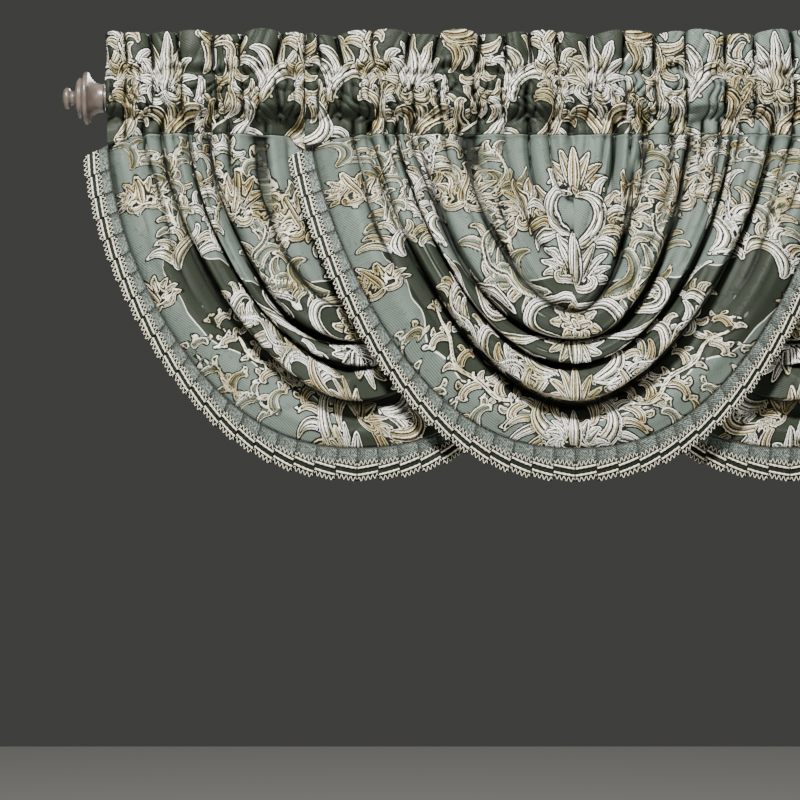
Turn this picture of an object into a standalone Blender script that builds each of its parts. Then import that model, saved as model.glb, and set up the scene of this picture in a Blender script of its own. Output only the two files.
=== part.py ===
"""Three waterfall valances gathered on one curtain rod with turned finials.

Lengths are in millimetres here and turn into metres when a mesh is made.
X runs along the rod, the front faces -Y and Z is up. The origin is on the
rod's axis, half way along it.
"""
import math

import bmesh
import bpy
import numpy as np

MM = 0.001

# Rod and finials
ROD_RADIUS = 12.5
ROD_HALF = 557.2
FINIAL_START = 557.5
FINIAL_SIDES = 20

# One row for each ring of the turned finial, from the cloth out to the tip
FINIAL_RINGS = (
    # (distance past the start, radius)
    (0.0, 16.8),
    (6.0, 17.4),
    (12.0, 20.5),
    (16.5, 26.0),
    (18.5, 30.6),
    (21.0, 31.7),
    (23.5, 30.4),
    (25.2, 25.0),
    (27.0, 23.6),
    (29.2, 24.3),
    (32.4, 20.5),
    (34.5, 12.0),
    (36.6, 8.3),
    (39.6, 9.0),
    (42.0, 12.3),
    (44.6, 12.9),
    (47.4, 11.2),
    (49.4, 6.5),
)

# Cloth
CLOTH_THICK = 1.7
SEAM_GAP = 0.4

# Gathered header: one row for each level of the front, from the top edge down
HEAD_FRONT = (
    # (height, stand off the axis, swell of each puff)
    (81.0, 2.5, 5.0),
    (57.0, 4.0, 7.5),
    (31.0, 4.5, 2.5),
    (14.0, 19.5, 5.0),
    (-10.0, 20.0, 6.0),
    (-27.0, 8.5, 3.0),
    (-45.0, 9.0, 4.0),
)
# and of the back, from the seam up to the rod pocket's stitching
HEAD_BACK = (
    # (height, stand behind the axis, swell of each puff)
    (-27.0, 1.0, 1.0),
    (0.0, 18.8, 4.0),
    (31.0, 0.5, 1.0),
)
# and of the rod pocket's inside, from the front's top round to the back's top
HEAD_POCKET = (
    # (height, stand off the axis, minus is behind)
    (22.0, 9.5),
    (12.0, 17.0),
    (-10.0, 17.6),
    (-19.0, 12.0),
    (-18.0, -4.5),
    (0.0, -16.6),
    (21.0, -4.8),
)
RUFFLE_THICK = 3.2
PINCH_STEPS = (0.0, 0.22, 0.5, 0.78)

# Where the gathers pinch each header, along the rod
PINCHES = {
    "left": (-557.0, -532.0, -501.0, -465.0, -425.0, -391.0, -350.0, -318.6),
    "centre": (-318.0, -302.0, -276.0, -233.0, -193.0, -160.0, -114.0, -80.0,
               -51.0, -18.0, 20.0, 61.0, 97.0, 135.0, 180.0, 216.0, 261.0,
               292.0, 318.0),
    "right": (318.6, 347.0, 390.0, 424.0, 466.0, 500.0, 531.0, 557.0),
}

# The line where header and drape meet: (along the rod, height)
SEAM_LINE = {
    "left": ((-552.0, -56.0), (-502.0, -44.0), (-338.0, -45.0),
             (-323.0, -62.0), (90.0, -62.0)),
    "centre": ((-312.0, -57.0), (-250.0, -45.0), (250.0, -45.0),
               (312.0, -57.0)),
    "right": ((-90.0, -62.0), (323.0, -62.0), (338.0, -45.0),
              (502.0, -44.0), (552.0, -56.0)),
}
SEAM_MIDDLE = -45.0

# Drape: place of each valance and how far its top corners are drawn in
DRAPES = {
    # name: (middle, draw at the left corner, draw at the right corner, columns)
    "left": (-255.0, 12.0, 0.0, 24),
    "centre": (0.0, 0.0, 0.0, 32),
    "right": (255.0, 0.0, 12.0, 24),
}

# Nested folds, from the crown at the header's middle out to the trim's seam.
# Each row is one line that runs down from the header, round and up again.
FOLDS = (
    # (reach left, reach right, drop, pinch, stand low, stand flank, stand top)
    (0.0, 0.0, 0.0, 1.00, 4.0, 4.0, 4.0),
    (26.0, 19.0, 60.0, 1.00, 9.0, 8.0, 2.0),
    (59.0, 40.0, 130.0, 1.00, 10.0, 8.0, 6.0),
    (78.0, 52.0, 173.0, 1.00, 8.0, 6.0, 1.0),
    (100.0, 68.0, 199.0, 1.00, 18.0, 14.0, 6.5),
    (128.0, 83.0, 209.0, 0.95, 13.0, 5.0, 1.5),
    (154.0, 107.0, 225.0, 0.92, 23.0, 17.0, 7.0),
    (175.0, 128.0, 240.0, 0.90, 25.0, 15.0, 4.0),
    (187.0, 140.0, 244.0, 0.88, 7.0, 0.0, 0.5),
    (197.0, 164.0, 258.0, 0.92, 21.0, 11.0, 6.0),
    (204.0, 180.0, 269.0, 0.95, 24.0, 13.0, 5.0),
    (209.0, 190.0, 273.0, 0.98, 9.0, 3.0, 1.5),
    (220.0, 209.0, 292.0, 1.02, 26.0, 14.0, 6.5),
    (235.0, 228.0, 311.0, 1.06, 29.0, 12.0, 4.0),
    (242.0, 237.0, 316.0, 1.08, 5.0, 0.0, 0.5),
    (251.0, 249.0, 334.0, 1.05, 3.0, 1.0, 2.5),
    (277.0, 277.0, 351.0, 0.92, 21.0, 15.0, 7.0),
    (309.0, 309.0, 370.0, 0.85, 15.0, 7.0, 2.0),
)
FALL_POWER = 1.6
HEM_PINCH = 0.85
HEM_FALL_POWER = 1.7
HEM_REACH = 339.0
HEM_TOP = -72.0
HEM_LOW = -455.0
SEAM_REACH = 309.0

# How far the drapes stand off the rod's plane, high up and low down
STAND_HIGH = 8.0
STAND_LOW = {"left": 14.0, "centre": 42.0, "right": 14.0}
STAND_DEPTH = 190.0

# Pleated trim and the braid sewn on it, as fractions of the trim's width
PLEAT_PITCH = 26.0
PLEAT_STEP = 1.5
TRIM_ROWS = (0.02, 0.36, 0.94)
BRAID_ROWS = (
    # (fraction of the trim's width, thickness)
    (0.36, 0.8),
    (0.56, 2.1),
    (0.80, 2.1),
    (1.00, 0.8),
)
TRIM_THICK = 1.6
BRAID_GAP = 0.8


def clear_scene():
    """Take every object out of the scene."""
    for obj in list(bpy.data.objects):
        bpy.data.objects.remove(obj, do_unlink=True)


def soft_step(value):
    """Smooth rise from 0 to 1 while value goes from 0 to 1."""
    value = np.clip(value, 0.0, 1.0)
    return value * value * (3.0 - 2.0 * value)


def make_material(name, colour, roughness, metallic=0.0):
    """Plain Principled material."""
    material = bpy.data.materials.new(name)
    material.use_nodes = True
    shader = material.node_tree.nodes["Principled BSDF"]
    shader.inputs["Base Color"].default_value = (*colour, 1.0)
    shader.inputs["Roughness"].default_value = roughness
    shader.inputs["Metallic"].default_value = metallic
    return material


def make_node(name, points, faces, material):
    """Closed mesh object from points in millimetres and quads."""
    mesh = bpy.data.meshes.new(name)
    mesh.from_pydata((np.asarray(points) * MM).tolist(), [], faces)
    work = bmesh.new()
    work.from_mesh(mesh)
    bmesh.ops.remove_doubles(work, verts=work.verts[:], dist=1e-6)
    bmesh.ops.recalc_face_normals(work, faces=work.faces[:])
    work.to_mesh(mesh)
    work.free()
    for polygon in mesh.polygons:
        polygon.use_smooth = True
    mesh.materials.append(material)
    obj = bpy.data.objects.new(name, mesh)
    bpy.context.scene.collection.objects.link(obj)
    return obj


def turned(name, rings, sides, start, toward, material):
    """Solid of revolution about the rod's axis, closed by a flat end each way."""
    angle = np.linspace(0.0, 2.0 * math.pi, sides, endpoint=False)
    points = []
    for along, radius in rings:
        place = toward * (start + along)
        for turn in angle:
            points.append((place, radius * math.cos(turn), radius * math.sin(turn)))
    faces = []
    for ring in range(len(rings) - 1):
        for side in range(sides):
            after = (side + 1) % sides
            low, high = ring * sides, (ring + 1) * sides
            faces.append((low + side, low + after, high + after, high + side))
    faces.append(tuple(range(sides)))
    faces.append(tuple(range((len(rings) - 1) * sides, len(rings) * sides)))
    return make_node(name, points, faces, material)


def header_columns(side):
    """Places along one header and how far each is from a pinch, 0 to 1."""
    pinches = PINCHES[side]
    along, swell = [], []
    for first, second in zip(pinches[:-1], pinches[1:]):
        for step in PINCH_STEPS:
            along.append(first + (second - first) * step)
            swell.append(math.sin(math.pi * step) ** 0.7)
    along.append(pinches[-1])
    swell.append(0.0)
    width = np.interp(along, pinches[:-1], np.diff(pinches))
    return np.array(along), np.array(swell) * np.clip(width / 38.0, 0.5, 1.15)


def build_header(side, material):
    """Gathered sleeve: ruffle above, rod pocket round the rod, skirt below."""
    along, swell = header_columns(side)
    seam = np.interp(along, *np.array(SEAM_LINE[side]).T)
    ring = []
    for height, stand, puff in HEAD_FRONT:
        level = np.full_like(along, height)
        if height > 80.0:
            level = level - 3.0 + 4.5 * swell
        if height <= -45.0:
            level = seam
        ring.append((level, -(stand + puff * swell)))
    front = [row[1] for row in ring]
    ring.append((seam, front[-1] + 2.6))
    for height, stand, puff in HEAD_BACK:
        ring.append((np.full_like(along, height), stand + puff * swell))
    ring.append((np.full_like(along, HEAD_FRONT[1][0]), front[1] + RUFFLE_THICK))
    ring.append((ring[0][0], front[0] + RUFFLE_THICK))
    outer = len(ring)
    for height, stand in HEAD_POCKET:
        ring.append((np.full_like(along, height), np.full_like(along, -stand)))
    count = len(ring)
    points = []
    for column, place in enumerate(along):
        for level, depth in ring:
            slant = 0.0
            if column == 0 and side == "left":
                slant = 5.0 * (81.0 - level[column]) / 137.0
            if column == len(along) - 1 and side == "right":
                slant = -5.0 * (81.0 - level[column]) / 137.0
            points.append((place + slant, depth[column], level[column]))
    faces = []
    for column in range(len(along) - 1):
        here, there = column * count, (column + 1) * count
        for first, size in ((0, outer), (outer, count - outer)):
            for step in range(size):
                one, two = first + step, first + (step + 1) % size
                faces.append((here + one, here + two, there + two, there + one))
    # Ends: two fins, then the walls between outside and pocket
    ends = (
        (0, 1, 11, 12), (1, 2, 10, 11), (5, 6, 7, 8),
        (2, 3, 14, 13), (3, 4, 15, 14), (4, 5, 16, 15),
        (8, 9, 18, 17), (9, 10, 19, 18), (2, 13, 19, 10), (5, 8, 17, 16),
    )
    last = (len(along) - 1) * count
    for end in ends:
        faces.append(end)
        faces.append(tuple(last + index for index in end))
    return make_node("header_" + side, points, faces, material)


def stand_base(side, drop):
    """Stand of the drape off the rod's plane at a drop below the seam."""
    high, low = STAND_HIGH, STAND_LOW[side]
    return high + (low - high) * soft_step(drop / STAND_DEPTH)


def outside_centre(x, z):
    """Distance outside the middle valance's hem, about, in millimetres."""
    across = np.abs(x) / HEM_REACH
    down = np.clip((HEM_TOP - z) / (HEM_TOP - HEM_LOW), 0.0, None)
    measure = across ** (2.0 / HEM_PINCH) + down ** (2.0 / HEM_FALL_POWER)
    return np.clip((measure - 1.0) * 150.0, 0.0, None)


def tuck(side, x, z, y):
    """Press a side drape flat where the middle one hangs in front of it."""
    if side == "centre":
        return y
    drop = SEAM_MIDDLE - z
    guard = 6.5 - stand_base("centre", drop)
    if side == "right":
        behind = np.maximum(guard + 7.4, 0.0)
        guard = guard + (behind - guard) * soft_step((190.0 - x) / 105.0)
    return np.maximum(y, guard - 0.8 * outside_centre(x, z))


def fold_surface(side, rows, turn):
    """Points of the drape for rows of the fold table at angles from the middle."""
    middle, draw_left, draw_right, _ = DRAPES[side]
    table = np.array(rows)[:, :, None]
    reach_left, reach_right, drop, pinch = table[:, 0], table[:, 1], table[:, 2], table[:, 3]
    across = np.abs(np.sin(turn))[None, :]
    level = np.cos(turn)[None, :]
    left = turn[None, :] < 0.0
    reach = np.where(left, -reach_left, reach_right)
    draw = np.where(left, draw_left, -draw_right)
    corner = middle + reach + draw * np.abs(reach) / SEAM_REACH
    x = middle + reach * across ** pinch
    x = x + draw * np.abs(reach) / SEAM_REACH * across ** 12
    top = np.interp(corner, *np.array(SEAM_LINE[side]).T) - SEAM_GAP
    low = np.minimum(SEAM_MIDDLE - SEAM_GAP - drop, top)
    z = top + (low - top) * np.clip(level, 0.0, 1.0) ** FALL_POWER
    stand = table[:, 6] * (1.0 - level) ** 2
    stand = stand + 2.0 * table[:, 5] * level * (1.0 - level) + table[:, 4] * level ** 2
    y = -(stand_base(side, SEAM_MIDDLE - z) + stand)
    return np.stack([x, tuck(side, x, z, y), z], axis=-1)


def hem_surface(side, turn):
    """Points of the hem line, the trim's outer edge."""
    middle, draw_left, draw_right, _ = DRAPES[side]
    across = np.abs(np.sin(turn))
    level = np.clip(np.cos(turn), 0.0, 1.0)
    left = turn < 0.0
    reach = np.where(left, -HEM_REACH, HEM_REACH)
    draw = np.where(left, draw_left, -draw_right)
    x = middle + reach * across ** HEM_PINCH + draw * across ** 12
    hidden = (np.abs(middle + reach) < 200.0)
    top = np.where(hidden, HEM_TOP - 6.0, HEM_TOP)
    z = top + (HEM_LOW - top) * level ** HEM_FALL_POWER
    stand = 2.0 + 10.0 * level
    y = -(stand_base(side, SEAM_MIDDLE - z) + stand)
    return np.stack([x, tuck(side, x, z, y), z], axis=-1)


def offset_back(front, thick):
    """The sheet's back, one thickness behind its front along the normals."""
    down = np.gradient(front, axis=0)
    along = np.gradient(front, axis=1)
    normal = np.cross(down, along)
    size = np.linalg.norm(normal, axis=-1, keepdims=True)
    normal = np.where(size > 1e-9, normal / np.maximum(size, 1e-9), (0.0, 1.0, 0.0))
    normal = normal * np.where(normal[..., 1:2] < 0.0, -1.0, 1.0)
    return front + normal * thick


def close_sheet(name, front, back, material):
    """Solid between two grids of the same size."""
    rows, columns = front.shape[:2]
    points = np.concatenate([front.reshape(-1, 3), back.reshape(-1, 3)])
    other = rows * columns
    faces = []
    for row in range(rows - 1):
        for column in range(columns - 1):
            one = row * columns + column
            quad = (one, one + 1, one + columns + 1, one + columns)
            faces.append(quad)
            faces.append(tuple(other + index for index in reversed(quad)))
    for row in range(rows - 1):
        for one in (row * columns, row * columns + columns - 1):
            faces.append((one, one + columns, other + one + columns, other + one))
    for column in range(columns - 1):
        for one in (column, (rows - 1) * columns + column):
            faces.append((one, one + 1, other + one + 1, other + one))
    return make_node(name, points, faces, material)


def build_drape(side, material):
    """Draped cloth with its nested folds."""
    columns = DRAPES[side][3]
    turn = np.linspace(-math.pi / 2.0, math.pi / 2.0, columns + 1)
    front = fold_surface(side, FOLDS, turn)
    back = offset_back(front, CLOTH_THICK)
    # The top edge stays under the header: its back keeps the front's height
    back[:, 0, 2] = front[:, 0, 2]
    back[:, -1, 2] = front[:, -1, 2]
    back[0] = front[0] + (0.0, CLOTH_THICK, 0.0)
    # The back of the outer edge keeps clear of the trim
    back[-1, :, 0] = front[-1, :, 0]
    back[-1, :, 2] = front[-1, :, 2]
    back[-1, :, 1] = front[-1, :, 1] + CLOTH_THICK
    return close_sheet("swag_" + side, front, back, material)


def pleat_turns(side):
    """Angles of the two sides of each pleat, and the pleat's height at each."""
    dense = np.linspace(-math.pi / 2.0, math.pi / 2.0, 3001)
    line = hem_surface(side, dense)[:, ::2]
    length = np.concatenate([[0.0], np.cumsum(np.linalg.norm(np.diff(line, axis=0), axis=1))])
    count = int(round(length[-1] / PLEAT_PITCH))
    edges = np.linspace(0.0, length[-1], count + 1)
    starts = edges[:-1] + 0.7
    starts[0] = 0.0
    ends = edges[1:] - 0.7
    ends[-1] = length[-1]
    places = np.stack([starts, ends], axis=1).ravel()
    rise = np.tile([0.0, PLEAT_STEP], count)
    return np.interp(places, length, dense), rise


def trim_surface(side, fractions, turn, rise):
    """Points across the trim: 0 is the seam with the drape, 1 the hem."""
    seam = fold_surface(side, FOLDS[-1:], turn)[0]
    hem = hem_surface(side, turn)
    share = np.array(fractions)[:, None, None]
    grid = seam[None] + (hem - seam)[None] * share
    grid[..., 1] -= rise[None, :]
    return grid


def build_trim(side, material):
    """Pleated trim round the drape's edge."""
    turn, rise = pleat_turns(side)
    front = trim_surface(side, TRIM_ROWS, turn, rise)
    back = front + (0.0, TRIM_THICK, 0.0)
    return close_sheet("band_" + side, front, back, material)


def build_braid(side, material):
    """Woven braid with two cords, sewn on the trim along the hem."""
    turn, rise = pleat_turns(side)
    fractions = [row[0] for row in BRAID_ROWS]
    thick = np.array([row[1] for row in BRAID_ROWS])[:, None]
    back = trim_surface(side, fractions, turn, rise)
    back[..., 1] -= BRAID_GAP
    front = back.copy()
    front[..., 1] -= thick
    return close_sheet("braid_" + side, front, back, material)


def main():
    """Build the rod, the finials and the three valances."""
    clear_scene()
    pewter = make_material("antique_pewter", (0.36, 0.31, 0.27), 0.38, 1.0)
    damask = make_material("sage_damask", (0.24, 0.29, 0.24), 0.6)
    trim = make_material("sage_trim", (0.22, 0.27, 0.23), 0.65)
    braid = make_material("cream_braid", (0.55, 0.52, 0.42), 0.7)
    ends = ((0.0, ROD_RADIUS), (2.0 * ROD_HALF, ROD_RADIUS))
    turned("rod", ends, 24, -ROD_HALF, 1.0, pewter)
    turned("finial_left", FINIAL_RINGS, FINIAL_SIDES, FINIAL_START, -1.0, pewter)
    turned("finial_right", FINIAL_RINGS, FINIAL_SIDES, FINIAL_START, 1.0, pewter)
    for side in ("left", "centre", "right"):
        build_header(side, damask)
        build_drape(side, damask)
        build_trim(side, trim)
        build_braid(side, braid)


main()
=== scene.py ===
"""Looks for three waterfall valances gathered on one rod with turned finials.

Lengths are in millimetres until a mesh is made. X runs along the rod, the
front faces -Y and Z is up. A drape is a sheet over two parameters: the level,
which counts the nested folds from the crown at the header out to the trim,
and the turn, an angle that runs from the left top corner round the bottom
to the right top corner.
"""
import math

import bmesh
import bpy
import numpy as np
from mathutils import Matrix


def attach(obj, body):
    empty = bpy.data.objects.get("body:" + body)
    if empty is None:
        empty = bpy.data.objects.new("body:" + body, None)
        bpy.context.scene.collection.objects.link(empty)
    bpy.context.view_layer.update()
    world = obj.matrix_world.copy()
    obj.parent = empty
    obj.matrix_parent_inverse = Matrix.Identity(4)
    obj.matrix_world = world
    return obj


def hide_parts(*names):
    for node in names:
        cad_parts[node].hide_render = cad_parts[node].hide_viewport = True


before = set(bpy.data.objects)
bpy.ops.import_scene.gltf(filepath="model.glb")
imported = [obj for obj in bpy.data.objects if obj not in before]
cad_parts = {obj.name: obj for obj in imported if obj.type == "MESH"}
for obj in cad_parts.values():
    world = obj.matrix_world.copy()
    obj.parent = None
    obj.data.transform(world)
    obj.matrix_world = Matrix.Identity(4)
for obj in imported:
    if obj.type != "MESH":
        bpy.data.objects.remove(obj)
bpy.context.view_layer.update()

MM = 0.001
SIDES = ("left", "centre", "right")
SEEDS = {"left": 1.0, "centre": 2.0, "right": 3.0}
HALF_TURN = math.pi / 2.0

# ---- sizes shared with the part -------------------------------------------

FINIAL_START = 557.5
FINIAL_SIDES = 64
FINIAL_RINGS = (
    # (distance past the start, radius)
    (0.0, 16.8), (6.0, 17.4), (12.0, 20.5), (16.5, 26.0), (18.5, 30.6),
    (21.0, 31.7), (23.5, 30.4), (25.2, 25.0), (27.0, 23.6), (29.2, 24.3),
    (32.4, 20.5), (34.5, 12.0), (36.6, 8.3), (39.6, 9.0), (42.0, 12.3),
    (44.6, 12.9), (47.4, 11.2), (49.4, 6.5),
)
CLOTH_THICK = 1.5
SEAM_GAP = 0.7
HEAD_FRONT = (
    # (height, stand off the axis, swell of each puff)
    (81.0, 2.5, 5.0),
    (57.0, 4.0, 7.5),
    (31.0, 4.5, 2.5),
    (14.0, 19.5, 5.0),
    (-10.0, 20.0, 6.0),
    (-27.0, 8.5, 3.0),
    (-45.0, 9.0, 4.0),
)
HEAD_BACK = (
    # (height, stand behind the axis, swell of each puff)
    (-27.0, 1.0, 1.0),
    (0.0, 18.8, 4.0),
    (31.0, 0.5, 1.0),
)
HEAD_POCKET = (
    # (height, stand off the axis, minus is behind)
    (20.0, 8.5), (12.0, 14.0), (0.0, 15.0), (-10.0, 14.0), (-17.0, 9.5),
    (-18.0, -4.5), (0.0, -16.6), (20.0, -4.8),
)
RUFFLE_THICK = 3.2
PINCHES = {
    "left": (-557.0, -532.0, -501.0, -465.0, -425.0, -391.0, -350.0, -318.6),
    "centre": (-318.0, -302.0, -276.0, -233.0, -193.0, -160.0, -114.0, -80.0,
               -51.0, -18.0, 20.0, 61.0, 97.0, 135.0, 180.0, 216.0, 261.0,
               292.0, 318.0),
    "right": (318.6, 347.0, 390.0, 424.0, 466.0, 500.0, 531.0, 557.0),
}
SEAM_LINE = {
    "left": ((-552.0, -56.0), (-502.0, -44.0), (-338.0, -45.0),
             (-323.0, -62.0), (90.0, -62.0)),
    "centre": ((-312.0, -57.0), (-250.0, -45.0), (250.0, -45.0),
               (312.0, -57.0)),
    "right": ((-90.0, -62.0), (323.0, -62.0), (338.0, -45.0),
              (502.0, -44.0), (552.0, -56.0)),
}
SEAM_MIDDLE = -45.0
DRAPES = {
    # name: (middle, draw at the left corner, draw at the right corner)
    "left": (-255.0, 12.0, 0.0),
    "centre": (0.0, 0.0, 0.0),
    "right": (255.0, 0.0, 12.0),
}
FOLDS = (
    # (reach left, reach right, drop, pinch, stand low, stand flank, stand top)
    (0.0, 0.0, 0.0, 1.00, 4.0, 4.0, 4.0),
    (26.0, 19.0, 60.0, 1.00, 9.0, 8.0, 2.0),
    (59.0, 40.0, 130.0, 1.00, 10.0, 8.0, 6.0),
    (78.0, 52.0, 173.0, 1.00, 8.0, 6.0, 1.0),
    (100.0, 68.0, 199.0, 1.00, 18.0, 14.0, 6.5),
    (128.0, 83.0, 209.0, 0.95, 13.0, 5.0, 1.5),
    (154.0, 107.0, 225.0, 0.92, 23.0, 17.0, 7.0),
    (175.0, 128.0, 240.0, 0.90, 25.0, 15.0, 4.0),
    (187.0, 140.0, 244.0, 0.88, 7.0, 0.0, 0.5),
    (197.0, 164.0, 258.0, 0.92, 21.0, 11.0, 6.0),
    (204.0, 180.0, 269.0, 0.95, 24.0, 13.0, 5.0),
    (209.0, 190.0, 273.0, 0.98, 9.0, 3.0, 1.5),
    (220.0, 209.0, 292.0, 1.02, 26.0, 14.0, 6.5),
    (235.0, 228.0, 311.0, 1.06, 29.0, 12.0, 4.0),
    (242.0, 237.0, 316.0, 1.08, 5.0, 0.0, 0.5),
    (251.0, 249.0, 334.0, 1.05, 3.0, 1.0, 2.5),
    (277.0, 277.0, 351.0, 0.92, 21.0, 15.0, 7.0),
    (309.0, 309.0, 370.0, 0.85, 15.0, 7.0, 2.0),
)
LAST_FOLD = len(FOLDS) - 1
CREASES = (
    # (level, half width in levels, depth at the top, on the flank, at the bottom)
    (0.9, 0.20, 5.0, 5.0, 0.0),
    (1.9, 0.22, 6.0, 8.0, 3.0),
    (3.0, 0.24, 7.0, 13.0, 6.0),
    (4.1, 0.16, 5.0, 5.0, 0.0),
    (5.0, 0.30, 9.0, 18.0, 9.0),
    (6.5, 0.20, 6.0, 5.0, 0.0),
    (8.05, 0.40, 12.0, 25.0, 19.0),
    (9.5, 0.20, 6.0, 5.0, 2.0),
    (11.0, 0.34, 10.0, 20.0, 14.0),
    (12.5, 0.20, 6.0, 4.0, 0.0),
    (14.2, 0.50, 12.0, 23.0, 24.0),
    (15.7, 0.22, 6.0, 3.0, 0.0),
)
VALLEY_DEPTH = 20.0
FALL_POWER = 1.6
HEM_PINCH = 0.85
HEM_FALL_POWER = 1.7
HEM_REACH = 339.0
HEM_TOP = -72.0
HEM_LOW = -455.0
SEAM_REACH = 309.0
STAND_HIGH = 8.0
STAND_LOW = {"left": 14.0, "centre": 42.0, "right": 14.0}
STAND_DEPTH = 190.0
PLEAT_PITCH = 26.0
PLEAT_STEP = 1.5
PLEAT_ASKEW = 3.4
PLEAT_POINTS = 8
TRIM_WIDE = 38.0
TRIM_BELOW_SEAM = 34.0
TRIM_THICK = 1.4
HEADER_LEAN = 5.0
HEADER_HIGH = 137.0
HEADER_TOP = 81.0
HEADER_FRONT_ROWS = 76
STITCH_HEIGHT = 31.0
BRAID_STEP = 1.3
BRAID_STRIP = (
    # (place across the trim, lift off it), round the ribbon's section
    (0.385, 0.6), (0.385, 0.9), (0.60, 1.4), (0.68, 1.5), (0.76, 1.4),
    (0.965, 0.9), (0.965, 0.6),
)
CORD_PLACES = (0.575, 0.785)
CORD_RADIUS = 1.15
CORD_TWIST = 6.0
ZIGZAG_PLACES = ((0.445, 1.0), (0.915, -1.0))
ZIGZAG_SWING = 0.065
ZIGZAG_RADIUS = 0.46

# ---- general helpers --------------------------------------------------------


def soft_step(value):
    """Smooth rise from 0 to 1 while value goes from 0 to 1."""
    value = np.clip(value, 0.0, 1.0)
    return value * value * (3.0 - 2.0 * value)


def smooth_rows(table, levels):
    """Rows of a table at fractional places, by cubics that keep each extreme.

    The slope at a row is the harmonic mean of the steps on its two sides,
    or 0 where the column turns there, so no fold overshoots its row.
    """
    table = np.asarray(table, float)
    step = np.diff(table, axis=0)
    product = step[:-1] * step[1:]
    total = step[:-1] + step[1:]
    safe = np.where(np.abs(total) > 1e-9, total, 1.0)
    inner = np.where(product > 0.0, 2.0 * product / safe, 0.0)
    slope = np.concatenate([step[:1], inner, step[-1:]])
    place = np.clip(levels, 0.0, len(table) - 1.0)
    row = np.minimum(place.astype(int), len(table) - 2)
    part = (place - row)[..., None]
    first, second = table[row], table[row + 1]
    rise = part * part * (3.0 - 2.0 * part)
    return (first + (second - first) * rise
            + slope[row] * part * (1.0 - part) ** 2
            - slope[row + 1] * part ** 2 * (1.0 - part))


def wander(places, seed, pitch):
    """Smooth uneven wave of about -1 to 1: three sines of unrelated pitch."""
    phase = seed * 1.7
    return (np.sin(places / pitch * 6.283 + phase)
            + 0.7 * np.sin(places / pitch * 3.71 + 2.1 * phase + 1.0)
            + 0.5 * np.sin(places / pitch * 9.17 + 0.6 * phase + 2.0)) / 1.6


def puckers(places, seed):
    """Rounded ridges with sharp creases between them, 0 in a crease and 1 on a ridge.

    Each ridge is one unit wide, and a slow wave makes their widths uneven.
    """
    places = places + 0.35 * np.sin(places * 1.9 + seed) + 0.2 * np.sin(places * 0.7 + 2.0 * seed)
    return np.abs(np.sin(math.pi * places)) ** 0.45


def path_lengths(path):
    """Length along a path up to each of its points."""
    return np.concatenate([[0.0], np.cumsum(np.linalg.norm(np.diff(path, axis=0), axis=1))])


def seam_height(side, x):
    """Height of the seam between header and drape."""
    return np.interp(x, *np.array(SEAM_LINE[side]).T)


def along_fold(top, flank, bottom, low):
    """Value along a fold from its top by its flank to its bottom, where low is 1."""
    return top * (1.0 - low) ** 2 + 2.0 * flank * low * (1.0 - low) + bottom * low ** 2


def stand_base(side, drop):
    """Stand of the drape off the rod's plane at a drop below the seam."""
    high, low = STAND_HIGH, STAND_LOW[side]
    return high + (low - high) * soft_step(drop / STAND_DEPTH)


def outside_centre(x, z):
    """Distance outside the middle valance's hem, about, in millimetres."""
    across = np.abs(x) / HEM_REACH
    down = np.clip((HEM_TOP - z) / (HEM_TOP - HEM_LOW), 0.0, None)
    measure = across ** (2.0 / HEM_PINCH) + down ** (2.0 / HEM_FALL_POWER)
    return np.clip((measure - 1.0) * 150.0, 0.0, None)


def tuck(side, x, z, y):
    """Press a side drape flat where the middle one hangs in front of it."""
    if side == "centre":
        return y
    guard = 6.5 - stand_base("centre", SEAM_MIDDLE - z)
    guard = guard + VALLEY_DEPTH * soft_step((SEAM_MIDDLE - 30.0 - z) / 90.0)
    if side == "right":
        behind = np.maximum(guard + 7.4, 0.0)
        guard = guard + (behind - guard) * soft_step((190.0 - x) / 105.0)
    return np.maximum(y, guard - 0.8 * outside_centre(x, z))


# ---- meshes -----------------------------------------------------------------


def make_piece(name, points, faces, materials, uv=None, numbers=None,
               slots=None, merge=True):
    """Mesh object from points in millimetres, with its UV map and numbers."""
    mesh = bpy.data.meshes.new(name)
    mesh.from_pydata((np.asarray(points) * MM).tolist(), [], faces)
    for title, values in (numbers or {}).items():
        layer = mesh.attributes.new(title, "FLOAT", "POINT")
        layer.data.foreach_set("value", np.asarray(values, np.float32).ravel())
    if uv is not None:
        corner = np.empty(len(mesh.loops), np.int32)
        mesh.loops.foreach_get("vertex_index", corner)
        layer = mesh.uv_layers.new(name="cloth")
        flat = np.asarray(uv, np.float32).reshape(-1, 2)[corner]
        layer.data.foreach_set("uv", flat.ravel())
    for material in materials:
        mesh.materials.append(material)
    if slots is not None:
        mesh.polygons.foreach_set("material_index", np.asarray(slots, np.int32))
    if merge:
        work = bmesh.new()
        work.from_mesh(mesh)
        bmesh.ops.remove_doubles(work, verts=work.verts[:], dist=1e-6)
        bmesh.ops.recalc_face_normals(work, faces=work.faces[:])
        work.to_mesh(mesh)
        work.free()
    mesh.polygons.foreach_set("use_smooth", [True] * len(mesh.polygons))
    obj = bpy.data.objects.new(name, mesh)
    bpy.context.scene.collection.objects.link(obj)
    return obj


def grid_quads(rows, columns, start=0):
    """Quads of a grid of points stored row by row."""
    index = np.arange(rows * columns).reshape(rows, columns) + start
    return np.stack([index[:-1, :-1], index[:-1, 1:], index[1:, 1:],
                     index[1:, :-1]], axis=-1).reshape(-1, 4)


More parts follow.
